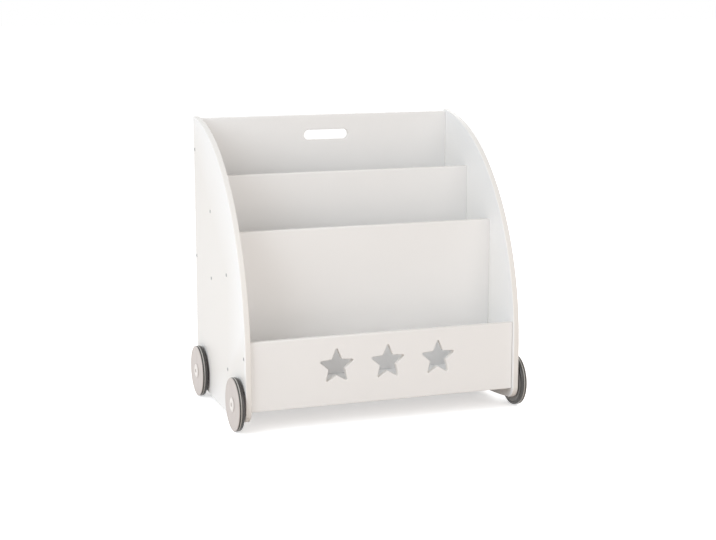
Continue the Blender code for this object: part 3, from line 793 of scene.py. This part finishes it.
thread = BOLT - THREAD_DEPTH * fade * (1.0 - np.abs(2.0 * wave - 1.0))
plain = np.ones((1, BOLT_STEPS))
bolt_radius = np.concatenate([head[:, :1] * plain, thread, (BOLT - THREAD_DEPTH) * plain,
                              (BOLT - 2 * THREAD_DEPTH) * plain, 0.0 * plain])
bolt_station = np.concatenate([head[:, 1], run, [bolt_end + BOLT_POINT, bolt_end, bolt_end]])
bolts = [n for n in SLOT_OF if n.startswith("axle_bolt")]
for node in bolts:
    turned(node, bolt_radius, bolt_station, zinc, closed=False)
print("axle bolts:", len(bolts), "thread rows:", len(run))

# %% [markdown]
# The lock nut is a hexagon on a round flange. Its end is chamfered as on a lathe: there each radius is the
# smaller of the hexagon and a cone, so the corners are cut to arcs and the flats stay full. The flange's
# rounded edge is a list of small steps, each inwards from its radius and down from its face.

# %% Lock nuts
NUT_FLATS = 0.013
FLANGE = 0.008
FLANGE_EDGE = ((0.0006, 0.0), (0.0001, 0.00015), (0.0, 0.0005), (0.0, 0.0009), (0.0002, 0.0012))
FLANGE_FOOT = 0.0020    # the hexagon is full from here, below the flange's face
FOOT_ROUND = 0.0003     # and meets the flange in a small fillet
FOOT_INSIDE = 0.0004    # that stays this far inside the flange
END_RING = (0.0060, 0.0050)     # outer and inner radius of the flat ring at the nut's end
END_ROUND = 0.0005      # chamfer of the thread at the nut's end
CONE_TOP = 0.0074       # radius of the cone where it starts to cut the corners
CONE_STEP = 0.0004
NUT_STEPS = 96
nut_low, nut_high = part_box("axle_nut_rear_right")
nut_in = nut_low[0] - HALF_WIDTH
nut_out = nut_high[0] - HALF_WIDTH
six = hexagon(NUT_FLATS, NUT_STEPS)
full = np.ones(NUT_STEPS)
flange_rows = [((FLANGE - inset) * full, nut_out - depth) for inset, depth in FLANGE_EDGE]
foot_rows = [(np.minimum(six + FOOT_ROUND, FLANGE - FOOT_INSIDE), nut_out - FLANGE_FOOT + FOOT_ROUND),
             (six, nut_out - FLANGE_FOOT)]
cone_rows = [(np.minimum(six, CONE_TOP - k * CONE_STEP), nut_in + (2 - k) * CONE_STEP) for k in range(3)]
end_rows = [*((radius * full, nut_in) for radius in END_RING), (BOLT_BORE * full, nut_in + END_ROUND)]
nut_rows = [(BOLT_BORE * full, nut_out), *flange_rows, *foot_rows, (six, nut_in + 3 * CONE_STEP),
            *cone_rows, *end_rows]
nuts = [n for n in SLOT_OF if n.startswith("axle_nut")]
for node in nuts:
    turned(node, np.stack([r for r, _ in nut_rows]), np.array([s for _, s in nut_rows]), zinc)
print("lock nuts:", len(nuts), "rows:", len(nut_rows))

# %% [markdown]
# A spacer tube keeps each wheel off the side panel. Instead of a cylinder less a smaller one it is a
# profile too, the simplest: a rectangle.

# %% Spacers
SPACER = 0.009
spacer_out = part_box("wheel_spacer_rear_right")[1][0] - HALF_WIDTH
spacer = soften([
    (BOLT_BORE, spacer_out, 0.0002),
    (SPACER, spacer_out, 0.0004),
    (SPACER, GAP, 0.0004),
    (BOLT_BORE, GAP, 0.0002),
])
spacers = [n for n in SLOT_OF if n.startswith("wheel_spacer")]
for node in spacers:
    turned(node, spacer[:, 0], spacer[:, 1], spacer_nylon)
print("spacers:", len(spacers))

# %% [markdown]
# ## Wheels
#
# A wheel is five pieces. The dark tyre has a groove round its tread that holds a band, painted light grey as
# a painted highlight of the tyre's shoulder. A core carries it. Over the outer face lies the off-white disc,
# almost as wide as the tyre, and the hub cap closes its middle. A torus would be too round for the flat
# tread, so the tyre is a profile too.

# %% Tyres and bands with a painted highlight
WHEELS = ["_front_left", "_front_right", "_rear_left", "_rear_right"]
TYRE_WALL = 0.0067
GROOVE_DEPTH = 0.0013
SHOULDER = 0.0010       # chamfer between the tread and the side that the disc covers
INNER_ROUND = 0.0012    # rounding on the side that faces the bookcase, wider than it is high
tyre_low, tyre_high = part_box("tyre_rear_right")
inner = tyre_low[0] - HALF_WIDTH
seat = tyre_high[0] - HALF_WIDTH
TREAD = tyre_high[2] - centre_of("tyre_rear_right")[2]
band_low, band_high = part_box("tyre_stripe_rear_right")
band_in = band_low[0] - HALF_WIDTH
band_out = band_high[0] - HALF_WIDTH
groove = TREAD - GROOVE_DEPTH
bore = TREAD - TYRE_WALL
tyre = soften([
    (bore, seat, 0.0001),
    (TREAD - SHOULDER, seat, 0.0006),
    (TREAD, seat - SHOULDER, 0.0006),
    (TREAD, band_out + GAP, 0.0003),
    (groove, band_out + GAP, 0.0001),
    (groove, band_in - GAP, 0.0001),
    (TREAD, band_in - GAP, 0.0003),
    (TREAD, inner + 2 * INNER_ROUND, INNER_ROUND),
    (TREAD - INNER_ROUND, inner + INNER_ROUND / 2, INNER_ROUND),
    (TREAD - 3 * INNER_ROUND, inner, INNER_ROUND),
    (bore, inner, 0.0002),
])
band = soften([
    (groove + GAP, band_out, 0.0001),
    (TREAD - GAP, band_out, 0.0004),
    (TREAD - GAP, band_in, 0.0004),
    (groove + GAP, band_in, 0.0001),
])
for tail in WHEELS:
    turned("tyre" + tail, tyre[:, 0], tyre[:, 1], tyre_rubber)
    # the band gets the painted-highlight grey
    turned("tyre_stripe" + tail, band[:, 0], band[:, 1], highlight_band_rubber)
print("tyre radius %.1f mm, width %.1f mm" % (TREAD * 1e3, (seat - inner) * 1e3))

# %% [markdown]
# The core has a hub, a web and a rim, which the tyre grips. Its inner face is sunk between the rim and the
# hub, as a moulder would core out a thick part.

# %% Cores
HUB = 0.011
WEB = 0.0035
SUNK = 0.0008
HUB_LENGTH = 0.0073
RIM_WALL = 0.0035
RIM_LIP = 0.0045        # width of the rim's flat on the inner face
HUB_LIP = 0.0018        # and of the hub's
SLANT = 0.0015          # the rim's flat slopes down to the sunk face over this width
HUB_SLANT = 0.0012
rim_out = bore - GAP
rim_in = rim_out - RIM_WALL
hub_end = inner + HUB_LENGTH
core = soften([
    (BOLT_BORE, hub_end, 0.0003),
    (HUB, hub_end, 0.0006),
    (HUB, inner + WEB, 0.0010),
    (rim_in, inner + WEB, 0.0010),
    (rim_in, seat, 0.0003),
    (rim_out, seat, 0.0003),
    (rim_out, inner, 0.0004),
    (rim_out - RIM_LIP, inner, 0.0008),
    (rim_out - RIM_LIP - SLANT, inner + SUNK, 0.0008),
    (HUB + HUB_LIP + HUB_SLANT, inner + SUNK, 0.0008),
    (HUB + HUB_LIP, inner, 0.0006),
    (BOLT_BORE, inner, 0.0003),
])
for tail in WHEELS:
    turned("wheel_core" + tail, core[:, 0], core[:, 1], core_nylon)
print("core radius %.1f mm, web %.1f mm" % (rim_out * 1e3, (WEB - SUNK) * 1e3))

# %% [markdown]
# The disc's face is sunk by 0.3 mm inside a narrow border. Its edge is marked and painted dark, as painted
# shade of the gap, so that a thin line parts the disc from the tyre.

# %% Discs
NEAR = 0.0002           # rows this close to a radius belong to it
HOLE = 0.0102           # the cap's skirt passes through here
FACE_SUNK = 0.0003
BORDER = 0.0040
BORDER_SLOPE = 0.0006   # the face rises to the border over this width
EDGE_BEVEL = 0.0008     # bevel of the outer edge, on the face
EDGE_DROP = 0.0010      # and on the side
SHADE_BELOW = 0.0006      # from here down the side is painted dark: painted shade of the gap to the tyre
DISC = TREAD - GAP
disc_low, disc_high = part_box("wheel_cover_rear_right")
disc_in = disc_low[0] - HALF_WIDTH
out = disc_high[0] - HALF_WIDTH
disc = soften([
    (HOLE, out - FACE_SUNK, 0.0002),
    (DISC - BORDER - BORDER_SLOPE, out - FACE_SUNK, 0.0003),
    (DISC - BORDER, out, 0.0004),
    (DISC - EDGE_BEVEL, out, 0.0006),
    (DISC, out - EDGE_DROP, 0.0006),
    (DISC, disc_in, 0.0003),
    (HOLE, disc_in, 0.0002),
])
# the disc's edge rows get painted shade, the dark gap between disc and tyre
painted_shade_edge = (disc[:, 0] > DISC - NEAR) & (disc[:, 1] < out - SHADE_BELOW)
for tail in WHEELS:
    turned("wheel_cover" + tail, disc[:, 0], disc[:, 1], disc_paint, marked=painted_shade_edge)
print("disc radius %.1f mm, marked rows: %d" % (DISC * 1e3, painted_shade_edge.sum()))

# %% [markdown]
# The hub cap is a low dome with a dimple in its middle. Its skirt passes through the disc and ends just
# short of the core's hub. The dimple's rows are marked and painted darker: painted shade in the hollow.

# %% Hub caps
CAP = 0.015
DIMPLE = 0.0045
DIMPLE_DEPTH = 0.0011
DIMPLE_SLOPE = 0.0006   # the dimple's wall leans by this
DIMPLE_RIM = 0.0001     # and starts this far below the crest
CREST = 0.0062          # radius of the cap's highest ring
DOME_EDGE = 0.0022      # from here outwards the dome rounds down
DOME_DROP = 0.0003      # fall of the dome between the crest and there
SKIRT_WALL = 0.0012
cap_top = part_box("hub_cap_rear_right")[1][0] - HALF_WIDTH
skirt = HOLE - GAP
skirt_end = hub_end + 2 * GAP
cap = soften([
    (0.0, cap_top - DIMPLE_DEPTH, 0.0),
    (DIMPLE - DIMPLE_SLOPE, cap_top - DIMPLE_DEPTH, 0.0003),
    (DIMPLE, cap_top - DIMPLE_RIM, 0.0004),
    (CREST, cap_top, 0.0004),
    (CAP - DOME_EDGE, cap_top - DOME_DROP, 0.0012),
    (CAP, out + 2 * GAP, 0.0003),
    (CAP, out + GAP, 0.0001),
    (skirt, out + GAP, 0.0001),
    (skirt, skirt_end, 0.0002),
    (skirt - SKIRT_WALL, skirt_end, 0.0002),
    (skirt - SKIRT_WALL, out + GAP, 0.0002),
    (0.0, out + GAP, 0.0),
])
# the dimple's rows get painted shade
painted_shade_dimple = (cap[:, 0] < DIMPLE - NEAR) & (cap[:, 1] > out + GAP)
for tail in WHEELS:
    turned("hub_cap" + tail, cap[:, 0], cap[:, 1], cap_acetal, closed=False, marked=painted_shade_dimple)
print("hub cap radius %.1f mm, marked rows: %d" % (CAP * 1e3, painted_shade_dimple.sum()))

# %% [markdown]
# ## Floor, light and camera
#
# The bookcase stands on a plain white floor. A camera, glossy or transmission ray sees the floor and the
# sky brighter than the rest of the scene does, so that both join in a white background, and the floor still
# keeps the contact shadow. To all other rays the floor is pale paper that throws a little warm light up.

# %% Studio floor
FLOOR_HALF = 30.0
FLOOR_LIFT = 0.50       # glow that brings the far floor up to the white of the background
PAPER_TONE = colour("#D7CBC2")
WHITE = colour("#FFFFFF")


def direct_ray(tree):
    """1 for camera, glossy and transmission rays and 0 for others: the largest of the three values."""
    path = add(tree, "ShaderNodeLightPath")
    seen = add(tree, "ShaderNodeMath", {"operation": "MAXIMUM"},
               {0: path.outputs["Is Camera Ray"], 1: path.outputs["Is Glossy Ray"]})
    through = add(tree, "ShaderNodeMath", {"operation": "MAXIMUM"},
                  {0: seen.outputs[0], 1: path.outputs["Is Transmission Ray"]})
    return through.outputs[0]


floor_mesh = bpy.data.meshes.new("studio_floor")
floor_corners = [(x * FLOOR_HALF, y * FLOOR_HALF, 0.0) for x, y in ((-1, -1), (1, -1), (1, 1), (-1, 1))]
floor_mesh.from_pydata(floor_corners, [], [(0, 1, 2, 3)])
floor = bpy.data.objects.new("studio_floor", floor_mesh)
bpy.context.scene.collection.objects.link(floor)
paper = bpy.data.materials.new("matt_white_paper")
paper.use_nodes = True
tree = paper.node_tree
tree.nodes.clear()
surface = add(tree, "ShaderNodeOutputMaterial")
matt = add(tree, "ShaderNodeBsdfDiffuse", {"Color": PAPER_TONE})
bright = add(tree, "ShaderNodeBsdfDiffuse", {"Color": WHITE})
lift = add(tree, "ShaderNodeEmission", {"Strength": FLOOR_LIFT})
shown = add(tree, "ShaderNodeAddShader", None, {0: bright.outputs[0], 1: lift.outputs[0]})
mixed = add(tree, "ShaderNodeMixShader", None, {0: direct_ray(tree), 1: matt.outputs[0], 2: shown.outputs[0]})
tree.links.new(mixed.outputs[0], surface.inputs["Surface"])
floor_mesh.materials.append(paper)
print("floor:", 2 * FLOOR_HALF, "m square")

# %% [markdown]
# The light is a bright, even studio. Most of it comes from a nearly neutral white sky, so that no side of
# the bookcase falls dark.

# %% Sky
SKY_STRENGTH = 0.61
SKY_TONE = (1.0, 0.99, 0.975, 1.0)      # linear, as light is
world = bpy.data.worlds.new("white_studio")
bpy.context.scene.world = world
world.use_nodes = True
tree = world.node_tree
tree.nodes.clear()
surface = add(tree, "ShaderNodeOutputWorld")
sky = add(tree, "ShaderNodeBackground", {"Color": SKY_TONE, "Strength": SKY_STRENGTH})
white = add(tree, "ShaderNodeBackground", {"Color": WHITE, "Strength": 1.0})
mixed = add(tree, "ShaderNodeMixShader", None, {0: direct_ray(tree), 1: sky.outputs[0], 2: white.outputs[0]})
tree.links.new(mixed.outputs[0], surface.inputs["Surface"])
print("sky strength:", SKY_STRENGTH)

# %% [markdown]
# Three wide lamps give it shape. A cool one stands high on the left, because the surfaces that face left
# are the brightest. A weaker, warm one stands in front. A nearly neutral one stands behind on the right, so
# that the back and the right side stay light too.

# %% Lamps
LAMP_SIZE = 2.8
AIM = (0.0, 0.0, 0.3)   # middle of the bookcase


def lamp(name, place, watts, tint):
    """A square area lamp that looks from its place to the aim.

    With (x, y, z) from the lamp to the aim, it tips by atan2(sqrt(x^2 + y^2), -z) about X and then turns
    by atan2(-x, y) about Z.
    """
    data = bpy.data.lights.new(name, "AREA")
    data.shape = "SQUARE"
    data.size = LAMP_SIZE
    data.energy = watts
    data.color = tint
    holder = bpy.data.objects.new(name, data)
    holder.location = place
    x, y, z = np.subtract(AIM, place)
    holder.rotation_euler = (math.atan2(math.hypot(x, y), -z), 0.0, math.atan2(-x, y))
    bpy.context.scene.collection.objects.link(holder)
    print(name, watts, "W at", place)


lamp("left_softbox", (-3.2, -1.2, 2.2), 90.0, (0.80, 0.88, 0.95))
lamp("front_softbox", (0.4, -3.6, 1.6), 33.0, (1.0, 0.94, 0.88))
lamp("rear_softbox", (3.0, 3.0, 2.0), 90.0, (0.94, 0.97, 1.0))

# %% [markdown]
# The camera stands to the left of the front, 3.4 m away and 0.3 m above the top of the bookcase. It is
# turned to the right by 20 degrees and looks down by ten.

# %% Camera
CAMERA_PLACE = (-1.1040, -3.1052, 0.8950)
YAW = 0.3438            # turned from straight back towards the right, in radians
PITCH_DOWN = 0.1826
FOCAL_LENGTH = 78.24    # millimetres, on a sensor 36 mm wide
camera_data = bpy.data.cameras.new("camera")
camera_data.lens = FOCAL_LENGTH
camera_data.sensor_width = 36.0
camera_data.clip_end = 200.0
camera = bpy.data.objects.new("camera", camera_data)
camera.location = CAMERA_PLACE
camera.rotation_euler = (math.pi / 2 - PITCH_DOWN, 0.0, -YAW)
bpy.context.scene.collection.objects.link(camera)
bpy.context.scene.camera = camera
bpy.context.scene.view_settings.view_transform = "Standard"
print("camera distance %.2f m" % float(np.linalg.norm(CAMERA_PLACE)))
